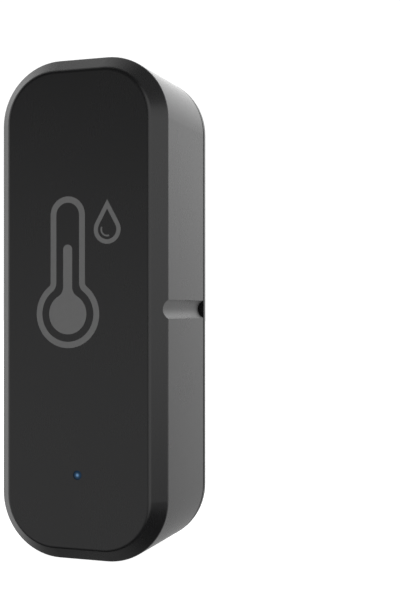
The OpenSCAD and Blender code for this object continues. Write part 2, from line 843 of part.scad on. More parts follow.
module tray_cuts() {
  head_room = 0.2;
  plate_room = 0.3;
  pocket_x = cell_x + plate_w / 2 + pocket_gap;
  for (side = [-1, 1]) {
    translate([side * cell_x, cell_y, wall_low_z])
      cylinder(h = wall_high_z - wall_low_z, r = cell_r + cradle_gap);
    box([side * cell_x - tab_w / 2 - tab_room, tray_front_y - over, wall_low_z - tab_room / 2],
      [side * cell_x + tab_w / 2 + tab_room, plate_front_y + over, plate_low_z + tab_room]);
  }
  box([tray_w / 2 - rail_w, board_rear_y - over, mid_z - vent_w / 2],
    [tray_w / 2 + rail_w, tray_rim_y + over, mid_z + vent_w / 2]);
  for (zs = [[wall_low_z, plate_low_z + plate_room], [plate_high_z - plate_room, wall_high_z]])
    box([-pocket_x, plate_front_y - pocket_gap, zs[0]], [pocket_x, tray_rim_y + over, zs[1]]);
  box([-button_w / 2 - button_room, board_rear_y - over, button_z - button_w / 2 - button_room],
    [button_w / 2 + button_room, button_top_y + button_plate_t + button_room, button_z + button_w / 2]);
  bar(0, button_z, button_top_y, tray_wall_y + over, plunger_d / 2 + button_room);
  for (z = screw_zs) {
    bar(0, z, board_rear_y - over, tray_rim_y + over, screw_d / 2 + screw_gap);
    bar(0, z, seat_y, tray_rim_y + over, screw_head_d / 2 + head_room);
  }
}

// A hooked guide on an end wall, beside the plate edge at x, opening towards -X
module plate_guide(x) {
  top_y = cell_y + guide_up;
  hook = plate_t + guide_gap;
  box([x + guide_gap, plate_front_y, -sink], [x + guide_gap + guide_t, top_y, hook + guide_t]);
  box([x - guide_lap, plate_front_y, hook], [x + guide_gap + sink, top_y, hook + guide_t]);
}

module tray_guides() {
  outer_x = cell_x + plate_w / 2;
  inner_x = cell_x - plate_w / 2;
  for (side = [0, 1])
    mirror([side, 0, 0]) {
      translate([0, 0, wall_low_z]) {
        plate_guide(outer_x);
        mirror([1, 0, 0]) plate_guide(-inner_x);
      }
      translate([0, 0, wall_high_z]) mirror([0, 0, 1]) plate_guide(outer_x);
    }
}

module battery_tray() {
  tray_r = in_r - tray_gap;
  color([0.13, 0.13, 0.14])
    intersection() {
      union() {
        difference() {
          tray_solid();
          tray_cuts();
        }
        tray_guides();
      }
      rounded_body(tray_w, in_h - 2 * tray_gap, tray_r, plain_section(tray_r, board_rear_y, split_y));
    }
}

module tray_screws() {
  cross_w = 0.45;
  cross_l = 1.8;
  cross_d = 0.6;
  head_y = seat_y + screw_head_t;
  color([0.78, 0.78, 0.8])
    for (z = screw_zs)
      difference() {
        union() {
          bar(0, z, screw_tip_y, seat_y + sink, screw_d / 2);
          bar(0, z, seat_y, head_y, screw_head_d / 2);
        }
        for (turn = [0, 90])
          translate([0, head_y, z])
            rotate([0, turn, 0])
              box([-cross_l / 2, -cross_d, -cross_w / 2], [cross_l / 2, over, cross_w / 2]);
      }
}

// Battery contacts

module contact_plate(x0, x1, z0) {
  box([x0, plate_front_y, z0], [x1, plate_rear_y, z0 + plate_t]);
}

module solder_tab(x) {
  box([x - tab_w / 2, board_front_y - tab_out, wall_low_z],
    [x + tab_w / 2, plate_front_y + sink, plate_low_z]);
}

module contact_bump(x, z, up) {
  translate([x, cell_y, z])
    mirror([0, 0, up ? 0 : 1])
      cylinder(h = bump_h, r1 = bump_d / 2, r2 = bump_top_d / 2);
}

module plus_plate() {
  color([0.82, 0.8, 0.74]) {
    contact_plate(cell_x - plate_w / 2, cell_x + plate_w / 2, wall_low_z);
    solder_tab(cell_x);
    contact_bump(cell_x, plate_low_z, true);
  }
}

module minus_plate() {
  color([0.82, 0.8, 0.74]) {
    contact_plate(-cell_x - plate_w / 2, -cell_x + plate_w / 2, wall_low_z);
    solder_tab(-cell_x);
  }
}

module bridge_plate() {
  color([0.82, 0.8, 0.74]) {
    contact_plate(-cell_x - plate_w / 2, cell_x + plate_w / 2, plate_high_z);
    contact_bump(-cell_x, plate_high_z, false);
  }
}

// A conical spring is one tube along a tapering helix
coil_rings = 8;
coil_sides = 6;
coil_gap = 0.02;
coil_steps = round(spring_turns * coil_rings);

function coil_centre(i) =
  let (
    t = i / coil_steps,
    a = 360 * i / coil_rings,
    r = (spring_base_d + t * (spring_tip_d - spring_base_d)) / 2
  )
  [r * cos(a), r * sin(a), coil_gap + wire_d / 2 + t * (spring_h - wire_d - 2 * coil_gap)];

function coil_ring(i) =
  let (
    c = coil_centre(i),
    ahead = coil_centre(i + 0.01) - coil_centre(i - 0.01),
    out = [c[0], c[1], 0] / norm([c[0], c[1], 0]),
    side = cross(ahead, out) / norm(cross(ahead, out)),
    lift = cross(side, ahead) / norm(cross(side, ahead))
  )
  [for (k = [0 : coil_sides - 1])
    let (a = 360 * k / coil_sides)
    c + wire_d / 2 * (cos(a) * lift + sin(a) * side)];

coil_points = [for (i = [0 : coil_steps]) each coil_ring(i)];
coil_faces = concat(
  [for (i = [0 : coil_steps - 1]) for (k = [0 : coil_sides - 1])
    let (a = i * coil_sides + k, b = i * coil_sides + (k + 1) % coil_sides)
    each [[a, b, b + coil_sides], [a, b + coil_sides, a + coil_sides]]],
  [for (k = [1 : coil_sides - 2]) [0, k + 1, k]],
  [for (k = [1 : coil_sides - 2])
    let (last = coil_steps * coil_sides)
    [last, last + k, last + k + 1]]
);
coil_least_gap = min([
  for (i = [0 : coil_steps]) for (j = [i + coil_rings / 2 : coil_steps])
    norm(coil_centre(i) - coil_centre(j)) - wire_d
]);
echo(coil_least_gap = coil_least_gap);

module contact_spring() {
  color([0.85, 0.84, 0.8]) polyhedron(points = coil_points, faces = coil_faces);
}

module minus_spring() {
  translate([-cell_x, cell_y, plate_low_z]) contact_spring();
}

module bridge_spring() {
  translate([cell_x, cell_y, plate_high_z]) rotate([180, 0, 0]) contact_spring();
}

// Cells: the left one stands cap up, the right one cap down

shoulder_high_z = plate_high_z - bump_h - cap_h;
shoulder_low_z = plate_low_z + bump_h + cap_h;

module cell_can(x, z) {
  length = cell_l - cap_h;
  translate([x, cell_y, z])
    rotate_extrude()
      polygon([
        [0, 0], [cell_r - cell_edge, 0], [cell_r, cell_edge], [cell_r, length - cell_edge],
        [cell_r - cell_edge, length], [0, length]
      ]);
}

module cell_left() {
  color([0.16, 0.36, 0.5]) cell_can(-cell_x, plate_low_z + spring_h);
}

module cell_right() {
  color([0.16, 0.36, 0.5]) cell_can(cell_x, shoulder_low_z);
}

// Places its children at both shoulders, with their foot on the shoulder
module at_shoulders() {
  translate([-cell_x, cell_y, shoulder_high_z]) children();
  translate([cell_x, cell_y, shoulder_low_z]) mirror([0, 0, 1]) children();
}

module cell_caps() {
  edge = 0.25;
  r = cap_d / 2;
  color([0.8, 0.8, 0.8])
    at_shoulders()
      rotate_extrude() polygon([[0, 0], [r, 0], [r, cap_h - edge], [r - edge, cap_h], [0, cap_h]]);
}

module cell_seals() {
  color([0.2, 0.2, 0.2])
    at_shoulders()
      difference() {
        cylinder(h = seal_t, r = cell_r - seal_edge);
        translate([0, 0, -over]) cylinder(h = seal_t + 2 * over, r = cap_d / 2 + seal_gap);
      }
}

// Rear cover

module grip_ribs() {
  rib_r = 0.5;
  rib_up = 16;
  inset = grip_gap + rib_r;
  y0 = lip_front_y + lip_lead;
  for (side = [-1, 1]) {
    for (end = [-1, 1])
      bar(side * (in_w / 2 - inset), mid_z + end * rib_up, y0, split_y + sink, rib_r);
    bar(0, mid_z + side * (in_h / 2 - inset), y0, split_y + sink, rib_r);
  }
}

module rear_cover() {
  pry_r = (pry_d * pry_d + pry_w * pry_w / 4) / (2 * pry_d);
  relief_gap = 0.25;
  rib_inset = 6;
  color([0.08, 0.08, 0.085])
    difference() {
      union() {
        rounded_body(case_w, case_h, corner_r, cover_section);
        difference() {
          union() {
            rounded_body(in_w - 2 * lip_gap, in_h - 2 * lip_gap, lip_r, lip_section, ring = true);
            grip_ribs();
            box([-cell_rib_t / 2, split_y - cell_rib_d, plate_low_z + rib_inset],
              [cell_rib_t / 2, split_y + sink, plate_high_z - rib_inset]);
          }
          for (side = [-1, 1])
            translate([side * cell_x, cell_y, plate_low_z])
              cylinder(h = plate_high_z - plate_low_z, r = cell_r + relief_gap);
          box([in_w / 2 - lip_t - over, lip_front_y - over, mid_z - vent_w / 2 - vent_margin],
            [in_w / 2 + lip_t + over, split_y, mid_z + vent_w / 2 + vent_margin]);
        }
      }
      bar(0, pry_d - pry_r, split_y - over, back_y + over, pry_r);
    }
}

front_shell();
thermometer_mark();
drop_mark();
light_pipe();
main_board();
status_led();
sensor_chip();
regulator_chip();
power_inductor();
reservoir_capacitor();
chip_capacitors();
chip_resistors();
radio_board();
radio_can();
antenna_track();
button_base();
button_plate();
button_terminals();
button_plunger();
battery_tray();
tray_screws();
plus_plate();
minus_plate();
minus_spring();
bridge_plate();
bridge_spring();
cell_left();
cell_right();
cell_caps();
cell_seals();
rear_cover();
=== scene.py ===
"""Looks of an upright battery sensor for room temperature and humidity, laid out as a Blender add-on.

The construction model is the frame, and its pieces stay where they are. Each operator finishes one group of
them: it gives them their materials, and builds a finer surface where a plain solid is too plain.
Lengths are in metres. X runs across the face, Y from the face to the back and Z up.
"""

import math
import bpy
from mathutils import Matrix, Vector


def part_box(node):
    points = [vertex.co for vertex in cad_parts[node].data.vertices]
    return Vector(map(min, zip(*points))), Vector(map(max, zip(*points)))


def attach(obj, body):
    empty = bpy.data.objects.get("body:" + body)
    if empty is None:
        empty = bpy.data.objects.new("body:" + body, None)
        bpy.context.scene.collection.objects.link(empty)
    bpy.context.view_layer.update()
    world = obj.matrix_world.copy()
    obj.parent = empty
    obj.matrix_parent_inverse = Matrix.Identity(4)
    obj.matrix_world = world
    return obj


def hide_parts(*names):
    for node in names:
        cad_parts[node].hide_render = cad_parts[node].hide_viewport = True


bl_info = {
    "name": "Room sensor looks",
    "version": (1, 0, 0),
    "blender": (4, 5, 0),
    "location": "3D View > Sidebar > Sensor",
    "description": "Finishes, fine pieces and stage of a battery sensor for temperature and humidity",
    "category": "Object",
}

from typing import NamedTuple

import bmesh
import bpy
import numpy as np
from bpy.props import FloatProperty, FloatVectorProperty, IntProperty, PointerProperty
from bpy.types import NodeSocket, Operator, Panel, PropertyGroup

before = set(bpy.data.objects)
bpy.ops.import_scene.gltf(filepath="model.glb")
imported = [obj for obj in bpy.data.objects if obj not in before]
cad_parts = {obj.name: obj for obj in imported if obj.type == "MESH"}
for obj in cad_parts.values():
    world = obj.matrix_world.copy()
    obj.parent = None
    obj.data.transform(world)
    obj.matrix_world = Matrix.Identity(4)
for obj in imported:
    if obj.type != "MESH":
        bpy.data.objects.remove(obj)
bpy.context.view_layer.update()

MM = 0.001
X, Y, Z = range(3)
UP = (0.0, 0.0, 1.0)
BACK = (0.0, 1.0, 0.0)
EVEN = (1.0, 1.0, 1.0)
BLACK = (0.0, 0.0, 0.0, 1.0)
WHITE = (1.0, 1.0, 1.0, 1.0)
MERGE_DISTANCE = 1e-7
CREASE = math.radians(35.0)


# Settings

def colour(name, description, default):
    """A colour that a user may change, in linear light."""
    return FloatVectorProperty(
        name=name, description=description, subtype="COLOR", size=3, min=0.0, max=1.0, default=default
    )


def length(name, description, millimetres):
    """A length that a user may change, given in millimetres and kept in metres."""
    return FloatProperty(
        name=name, description=description, subtype="DISTANCE", unit="LENGTH",
        min=0.0, precision=6, default=millimetres * MM,
    )


def share(name, description, default):
    """A number from 0 to 1 that a user may change."""
    return FloatProperty(
        name=name, description=description, subtype="FACTOR", min=0.0, max=1.0, default=default
    )


class CaseSettings(PropertyGroup):
    """Finish of the shell, the cover and the printed marks."""

    plastic: colour("Plastic", "Colour of the moulded case", (0.0125, 0.0125, 0.0130))
    roughness: share("Roughness", "Roughness of the satin case", 0.27)
    grain: length("Grain", "Size of the moulded grain", 0.08)
    grain_depth: length("Grain depth", "Depth of the moulded grain", 0.0012)
    ink: colour("Ink", "Colour of the printed marks", (0.205, 0.205, 0.205))


class IndicatorSettings(PropertyGroup):
    """Shape and glow of the light pipe, and finish of the LED behind it."""

    crown: length("Crown", "Height of the light pipe's domed end", 0.06)
    tip_width: length("Tip width", "Diameter of the light pipe's end", 1.2)
    flange_width: length("Flange width", "Diameter of the flange behind the face", 2.6)
    flange_start: length("Flange start", "Distance from the tip to the flange", 1.6)
    flange_thickness: length("Flange thickness", "Thickness of the flange", 0.6)
    neck_width: length("Neck width", "Diameter of the pipe behind its flange", 1.9)
    edge: length("Edge", "Radius on the pipe's edges", 0.06)
    core: colour("Core", "Colour of the light at the middle of the pipe", (0.118, 0.24, 0.41))
    halo: colour("Halo", "Colour of the light at the edge of the pipe", (0.006, 0.020, 0.042))
    led_body: colour("LED body", "Colour of the LED's moulding", (0.72, 0.74, 0.76))


class PowerSettings(PropertyGroup):
    """Shape and finish of the cells, the contacts and their springs."""

    jacket: colour("Jacket", "Main colour of the cells' printed film", (0.020, 0.075, 0.110))
    band: colour("Band", "Colour of the film's band at the plus end", (0.42, 0.44, 0.45))
    band_share: share("Band share", "Share of the cell's length that the band takes", 0.2)
    shoulder: length("Shoulder", "Radius of the film's fold at both ends", 0.38)
    fold: length("Fold", "Width of the film folded in over the ends", 0.75)
    dish: length("Dish", "Depth of a cell's foot inside the folded film", 0.1)
    washer: colour("Washer", "Colour of the fibre washer round a cell's cap", (0.05, 0.05, 0.052))
    nickel: colour("Nickel", "Colour of the plated contacts and cell ends", (0.62, 0.59, 0.53))
    wire: length("Wire", "Diameter of the spring wire", 0.5)
    spring_base: length("Spring base", "Mean diameter of a spring at its plate", 5.4)
    spring_tip: length("Spring tip", "Mean diameter of a spring at the cell", 3.4)
    spring_turns: FloatProperty(
        name="Spring turns", description="Turns in a contact spring", min=1.0, max=8.0, default=3.75
    )
    spring_rings: IntProperty(
        name="Spring rings", description="Rings for each turn of the wire", min=12, max=120, default=56
    )


class TraySettings(PropertyGroup):
    """Finish of the battery tray and its screws, and size of the polarity marks."""

    plastic: colour("Plastic", "Colour of the tray", (0.024, 0.024, 0.025))
    zinc: colour("Zinc", "Colour of the screws", (0.55, 0.55, 0.56))
    mark_span: length("Mark span", "Length of a stroke of the polarity marks", 0.8)
    mark_stroke: length("Mark stroke", "Width of a stroke", 0.2)
    mark_rise: length("Mark rise", "Height of a stroke above the wall", 0.12)
    mark_edge: length("Mark edge", "Radius on the edges of a stroke", 0.05)


class BoardSettings(PropertyGroup):
    """Finish of the circuit board and the parts on it."""

    resist: colour("Solder resist", "Colour of the main board", (0.006, 0.060, 0.030))
    track: colour("Track", "Colour of the copper tracks under the resist", (0.014, 0.120, 0.058))
    radio_resist: colour("Radio resist", "Colour of the radio board", (0.006, 0.010, 0.030))
    via: colour("Via", "Colour of the plated holes", (0.55, 0.42, 0.2))
    gilt: colour("Gilt", "Colour of the printed antenna", (0.72, 0.45, 0.2))
    tin: colour("Tin", "Colour of solder and plated ends", (0.66, 0.66, 0.67))
    epoxy: colour("Epoxy", "Colour of the moulded chips", (0.02, 0.02, 0.021))
    ferrite: colour("Ferrite", "Colour of the inductor", (0.05, 0.05, 0.055))
    ferrite_fleck: colour("Ferrite fleck", "Colour of the flecks in the ferrite", (0.1, 0.1, 0.11))
    reservoir: colour("Reservoir", "Colour of the reservoir capacitor", (0.55, 0.33, 0.05))
    ceramic: colour("Ceramic", "Colour of the chip capacitors", (0.33, 0.22, 0.12))
    ceramic_fleck: colour("Ceramic fleck", "Colour of the flecks in the ceramic", (0.42, 0.3, 0.18))
    track_pitch: length("Track pitch", "Distance between neighbouring tracks", 0.9)
    edge: length("Edge", "Radius on the edges of the small parts", 0.08)


class ButtonSettings(PropertyGroup):
    """Shape and finish of the pairing button."""

    nylon: colour("Nylon", "Colour of the base, the plunger and the rivets", (0.02, 0.02, 0.021))
    plate: colour("Plate", "Colour of the cover plate", (0.66, 0.65, 0.62))
    terminals: colour("Terminals", "Colour of the terminals", (0.68, 0.67, 0.64))
    stem_width: length("Stem width", "Diameter of the plunger's stem", 3.5)
    nub_width: length("Nub width", "Diameter of the nub under the plunger", 2.0)
    flange_thickness: length("Flange thickness", "Thickness of the plunger's flange", 0.7)
    crown: length("Crown", "Rise of the plunger's end from rim to middle", 0.12)
    edge: length("Edge", "Radius on the plunger's edges", 0.22)
    rivet_width: length("Rivet width", "Diameter of a rivet head", 0.84)
    rivet_height: length("Rivet height", "Height of a rivet head", 0.16)
    rivet_inset: length("Rivet inset", "Distance of a rivet from the plate's edges", 0.75)


class StageSettings(PropertyGroup):
    """Camera, floor and light."""

    camera_place: FloatVectorProperty(
        name="Camera place", description="Place of the camera", subtype="TRANSLATION", unit="LENGTH",
        size=3, precision=5, default=(0.0622, -0.1522, 0.0350),
    )
    camera_turn: FloatProperty(
        name="Camera turn", description="Turn of the level camera about the upright", subtype="ANGLE",
        default=math.radians(20.28),
    )
    lens: FloatProperty(name="Lens", description="Focal length", subtype="DISTANCE_CAMERA", default=68.41)
    shift_x: FloatProperty(name="Shift X", description="Sideways shift of the picture", default=0.0966)
    shift_y: FloatProperty(name="Shift Y", description="Upward shift of the picture", default=0.0233)
    floor_width: length("Floor width", "Width of the floor", 6000.0)
    floor_glow: share("Floor glow", "Light of the floor where it lies in shadow", 1.0)
    floor_tone: share("Floor tone", "Brightness of the floor's own surface", 0.5)
    backdrop: FloatProperty(name="Backdrop", description="Light of the white backdrop", min=0.0, default=1.1)


SETTINGS = {
    "sensor_case": CaseSettings,
    "sensor_indicator": IndicatorSettings,
    "sensor_power": PowerSettings,
    "sensor_tray": TraySettings,
    "sensor_board": BoardSettings,
    "sensor_button": ButtonSettings,
    "sensor_stage": StageSettings,
}


# Surfaces

def node_box(name):
    """Lowest and highest corner of a construction piece, as two arrays."""
    low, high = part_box(name)
    return np.array(low), np.array(high)


def end_middle(low, high, axis, sense=1.0):
    """Middle of a box's low end along one axis, or of its high end where the sense is negative."""
    point = (low + high) / 2
    point[axis] = low[axis] if sense > 0 else high[axis]
    return point


def solid_boxes(name):
    """Lowest and highest corner of each separate solid in a construction piece.

    Points that coincide share one number. Each triangle hands the lowest number among its corners to all of
    them, until no number changes, and each number that is left stands for one solid.
    """
    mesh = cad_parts[name].data
    points = np.empty(len(mesh.vertices) * 3)
    mesh.vertices.foreach_get("co", points)
    points = points.reshape(-1, 3)
    corners = np.empty(len(mesh.loops), int)
    mesh.loops.foreach_get("vertex_index", corners)
    same = np.unique(np.round(points / MERGE_DISTANCE).astype(int), axis=0, return_inverse=True)[1].ravel()
    triangles = same[corners.reshape(-1, 3)]
    label = np.arange(same.max() + 1)
    while True:
        lowest = label[triangles].min(axis=1, keepdims=True)
        passed = label.copy()
        np.minimum.at(passed, triangles, np.broadcast_to(lowest, triangles.shape))
        if np.array_equal(passed, label):
            break
        label = passed
    owner = label[same]
    return [(points[owner == k].min(axis=0), points[owner == k].max(axis=0)) for k in np.unique(owner)]


def full_turn(steps):
    """Angles once round a circle, in even steps, with both ends."""
    return np.linspace(0.0, 2 * np.pi, steps + 1)


def quarter_turn(steps=8):
    """Angles over a quarter of a circle, in even steps, with both ends."""
    return np.linspace(0.0, np.pi / 2, steps + 1)


def softened(corners, radius, steps=6):
    """A profile whose inner corners become arcs.

    Each arc's centre lies on the corner's bisector, and the arc turns between the two points where its circle
    touches the sides. The radius is limited so that neighbouring arcs don't meet.
    """
    corners = np.asarray(corners, float)
    t = np.linspace(0.0, 1.0, steps + 1)[:, None]
    parts = [corners[:1]]
    for before, corner, after in zip(corners, corners[1:], corners[2:]):
        sides = np.array([before, after]) - corner
        reach = np.linalg.norm(sides, axis=1)
        u, v = sides / reach[:, None]
        half = math.acos(np.clip(u @ v, -1.0, 1.0)) / 2
        r = min(radius, reach.min() / 2 * math.tan(half))
        centre = corner + (u + v) / np.linalg.norm(u + v) * r / math.sin(half)
        start = corner + u * r / math.tan(half) - centre
        end = corner + v * r / math.tan(half) - centre
        turn = math.pi - 2 * half
        parts.append(centre + (start * np.sin((1 - t) * turn) + end * np.sin(t * turn)) / math.sin(turn))
    return np.concatenate(parts + [corners[-1:]])


def turned(profile, centre, along, steps=72):
    """A turned grid: each profile point (radius, height) goes once round the axis.

    A point is the centre, plus the height along the axis, plus the radius times the unit circle's direction.
    """
    along = np.asarray(along, float)
    across = np.abs(np.roll(along, 1))
    other = np.cross(along, across)
    angle = full_turn(steps)[:, None]
    ring = np.cos(angle) * across + np.sin(angle) * other
    return np.asarray(centre) + profile[:, None, :1] * ring + profile[:, None, 1:] * along


def wire_grid(path, radius, axis, sides=18):
    """A round wire: a circle of the given radius stands square to the path at each of its points.

    The circle's first direction is the cross product of the path's direction with the axis, and its second
    one is square to both the first and the path. Both ends close in a point.
    """
    ahead = np.gradient(path, axis=0)
    ahead /= np.linalg.norm(ahead, axis=1, keepdims=True)
    side = np.cross(ahead, axis)
    side /= np.linalg.norm(side, axis=1, keepdims=True)
    lift = np.cross(side, ahead)
    angle = full_turn(sides)[None, :, None]
    tube = path[:, None] + radius * (np.cos(angle) * side[:, None] + np.sin(angle) * lift[:, None])
    ends = np.repeat(path[[0, -1], None], sides + 1, axis=1)
    return np.concatenate([ends[:1], tube, ends[1:]])


def rounded_block(low, high, radius, steps=3):
    """A block with rounded edges, as six grids.

    A point on a face of the sharp block is pulled to the given radius from the inner block, which is smaller
    by that radius on every side. On a thin block the radius stays just under half of the thickness.
    """
    largest = 0.98
    low, high = np.asarray(low, float), np.asarray(high, float)
    centre, half = (low + high) / 2, (high - low) / 2
    radius = min(radius, largest * half.min())
    bend = radius * np.tan(np.linspace(0.0, np.pi / 4, steps + 1))
    grids = []
    for axis in (X, Y, Z):
        flat = [(axis + 1) % 3, (axis + 2) % 3]
        lines = [np.concatenate([-(half[k] - radius + bend[::-1]), half[k] - radius + bend]) for k in flat]
        a, b = np.meshgrid(*lines, indexing="ij")
        for sign in (-1.0, 1.0):
            point = np.empty(a.shape + (3,))
            point[..., axis] = sign * half[axis]
            point[..., flat[0]] = a
            point[..., flat[1]] = b
            inner = np.clip(point, radius - half, half - radius)
            out = point - inner
            grids.append(centre + inner + radius * out / np.linalg.norm(out, axis=-1, keepdims=True))
    return grids


def mound(centre, reach, height, rings=8, steps=28):
    """A solder mound on the rear of the board: its height falls off as a squared cosine from middle to rim.

    reach is its half width across and up. The grid runs from the middle of its foot to the rim and back over
    the top, so the mound is closed.
    """
    angle = full_turn(steps)[None, :]
    t = np.concatenate([[0.0], np.linspace(1.0, 0.0, rings + 1)])[:, None]
    rise = np.cos(t * np.pi / 2) ** 2
    rise[0] = 0.0
    out = np.stack([
        reach[0] * t * np.cos(angle),
        height * np.broadcast_to(rise, (len(t), steps + 1)),
        reach[1] * t * np.sin(angle),
    ], axis=-1)
    return np.asarray(centre) + out


def grid_uv(grid):
    """Map coordinates of a grid: u goes round it with the columns, and v along its rows by true distance."""
    step = np.linalg.norm(np.diff(grid[:, 0], axis=0), axis=1)
    v = np.concatenate([[0.0], np.cumsum(step)]) / step.sum()
    u = np.linspace(0.0, 1.0, grid.shape[1])
    return np.stack(np.meshgrid(u, v), axis=-1).reshape(-1, 2)


def make_piece(name, grids, finish, body, replaces=()):
    """One piece from grids of points, each rows by columns by 3, where four neighbouring points make a face.

    Points that meet are merged, which closes seams and poles, and the faces are turned outwards. Edges
    sharper than the crease angle stay sharp.
    """
    faces, start = [], 0
    for grid in grids:
        index = np.arange(grid.shape[0] * grid.shape[1]).reshape(grid.shape[:2]) + start
        quads = np.stack([index[:-1, :-1], index[:-1, 1:], index[1:, 1:], index[1:, :-1]], axis=-1)
        faces.append(quads.reshape(-1, 4))
        start += index.size
    faces = np.concatenate(faces)
    mesh = bpy.data.meshes.new(name)
    mesh.from_pydata(np.concatenate([grid.reshape(-1, 3) for grid in grids]), [], faces)
    uv = np.concatenate([grid_uv(grid) for grid in grids])[faces.ravel()]
    mesh.uv_layers.new(name="surface").data.foreach_set("uv", uv.ravel())
    edit = bmesh.new()
    edit.from_mesh(mesh)
    bmesh.ops.remove_doubles(edit, verts=edit.verts, dist=MERGE_DISTANCE)
    bmesh.ops.recalc_face_normals(edit, faces=edit.faces)
    edit.to_mesh(mesh)
    edit.free()
    mesh.shade_smooth()
    mesh.set_sharp_from_angle(angle=CREASE)
    mesh.materials.append(finish)
    piece = bpy.data.objects.new(name, mesh)
    bpy.context.scene.collection.objects.link(piece)
    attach(piece, body)
    if replaces:
        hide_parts(*replaces)


def dress(names, finish):
    """Gives construction pieces a finish in place of their plain one."""
    for name in names:
        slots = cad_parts[name].data.materials
        slots.clear()
        slots.append(finish)


# Shader nodes

def connect(tree, node, inputs):
    """Fills a node's inputs. A socket is linked, and any other value is set on the input itself."""
    for key, value in inputs.items():
        if isinstance(value, NodeSocket):
            tree.links.new(value, node.inputs[key])
        else:
            node.inputs[key].default_value = value


def add(tree, kind, inputs=None, **settings):
    """Adds a shader node with its settings and inputs."""
    node = tree.nodes.new("ShaderNode" + kind)
    for key, value in settings.items():
        setattr(node, key, value)
    connect(tree, node, inputs or {})
    return node


def new_finish(name):
    """A material, its node tree, its shader and the piece's own coordinates."""
    material = bpy.data.materials.new(name)
    material.use_nodes = True
    tree = material.node_tree
    place = add(tree, "TexCoord").outputs["Object"]
    return material, tree, tree.nodes["Principled BSDF"], place


def combine(tree, operation, first, second):
    """Two numbers joined by an operation, each a number or a socket."""
    return add(tree, "Math", {0: first, 1: second}, operation=operation).outputs[0]


def between(tree, value, source, result, smooth=False):
    """A value mapped from the source range to the result range, and held at its ends."""
    return add(tree, "MapRange", {
        "Value": value, "From Min": source[0], "From Max": source[1],
        "To Min": result[0], "To Max": result[1],
    }, interpolation_type="SMOOTHSTEP" if smooth else "LINEAR").outputs["Result"]


def noise(tree, place, size, detail=2.0, stretch=EVEN):
    """Soft noise whose features are about as large as the given length, drawn out along stretched axes."""
    squeeze = [1.0 / factor for factor in stretch]
    scaled = add(tree, "VectorMath", {0: place, 1: squeeze}, operation="MULTIPLY").outputs[0]
    return add(tree, "TexNoise", {"Vector": scaled, "Scale": 1.0 / size, "Detail": detail}).outputs["Fac"]


def spread(tree, value, low, high):
    """Noise mapped to a range: the ends of its usual values become low and high."""
    usual = (0.3, 0.7)
    return between(tree, value, usual, (low, high))


def scaled_colour(base, factor):
    """A colour made lighter or darker."""
    return [min(1.0, channel * factor) for channel in base]


def tint(tree, factor, first, second):
    """A mix of two colours, each a colour or a socket."""
    ends = [c if isinstance(c, NodeSocket) else (*c, 1.0) for c in (first, second)]
    return add(tree, "Mix", {0: factor, 6: ends[0], 7: ends[1]}, data_type="RGBA").outputs[2]


def toned(tree, factor, base, darkest, lightest):
    """One colour that varies between a darker and a lighter tone, each given as a share of it."""
    return tint(tree, factor, scaled_colour(base, darkest), scaled_colour(base, lightest))


def raise_bump(tree, shader, height, depth):
    """Gives a shader's surface a relief of the given depth."""
    bump = add(tree, "Bump", {"Height": height, "Distance": depth, "Strength": 1.0})
    connect(tree, shader, {"Normal": bump.outputs["Normal"]})


# Finishes

def moulded_plastic(name, base, roughness, grain, depth):
    """Moulded plastic: slow clouds in tone and gloss, mostly upright rubs, and a fine eroded grain."""
    gloss_change = 0.01
    rub_change = 0.005
    rubbed = (0.35, 0.75)
    material, tree, shader, place = new_finish(name)
    clouds = noise(tree, place, size=9 * MM, detail=3.0)
    rubs = noise(tree, place, size=0.5 * MM, stretch=(1.0, 1.0, 9.0))
    gloss = spread(tree, clouds, roughness - gloss_change, roughness + gloss_change)
    worn = between(tree, rubs, rubbed, (-rub_change, rub_change))
    connect(tree, shader, {
        "Base Color": toned(tree, clouds, base, darkest=0.9, lightest=1.1),
        "Roughness": combine(tree, "ADD", gloss, worn),
    })
    raise_bump(tree, shader, noise(tree, place, grain), depth)
    return material


def printed_ink(name, base):
    """Printed ink: a matt film with a fine screen grain and slightly uneven cover."""
    material, tree, shader, place = new_finish(name)
    cover = noise(tree, place, size=0.6 * MM, detail=4.0)
    screen = noise(tree, place, size=0.08 * MM, detail=1.0)
    connect(tree, shader, {
        "Base Color": toned(tree, cover, base, darkest=0.93, lightest=1.07),
        "Roughness": spread(tree, cover, low=0.42, high=0.52),
    })
    raise_bump(tree, shader, screen, depth=0.002 * MM)
    return material


def plated_metal(name, base, roughness, stretch=EVEN):
    """Plated metal: faint clouds of tarnish, and drawing marks along the stretched axis."""
    smoother = 0.07
    rougher = 0.09
    material, tree, shader, place = new_finish(name)
    tarnish = noise(tree, place, size=1.6 * MM, detail=3.0)
    marks = noise(tree, place, size=0.06 * MM, stretch=stretch)
    connect(tree, shader, {
        "Base Color": toned(tree, tarnish, base, darkest=0.86, lightest=1.08),
        "Metallic": 1.0,
        "Roughness": spread(tree, marks, roughness - smoother, roughness + rougher),
    })
    raise_bump(tree, shader, marks, depth=0.003 * MM)
    return material


def sintered(name, base, fleck, roughness, grain):
    """Pressed or sintered material: flecks of a second tone in a matt ground, with a rough skin."""
    roughness_change = 0.08
    fleck_edge = (0.45, 0.62)
    material, tree, shader, place = new_finish(name)
    grains = noise(tree, place, grain, detail=3.0)
    flecks = between(tree, grains, fleck_edge, (0.0, 1.0))
    connect(tree, shader, {
        "Base Color": tint(tree, flecks, base, fleck),
        "Roughness": spread(tree, grains, roughness - roughness_change, roughness + roughness_change),
    })
    raise_bump(tree, shader, grains, depth=0.006 * MM)
    return material


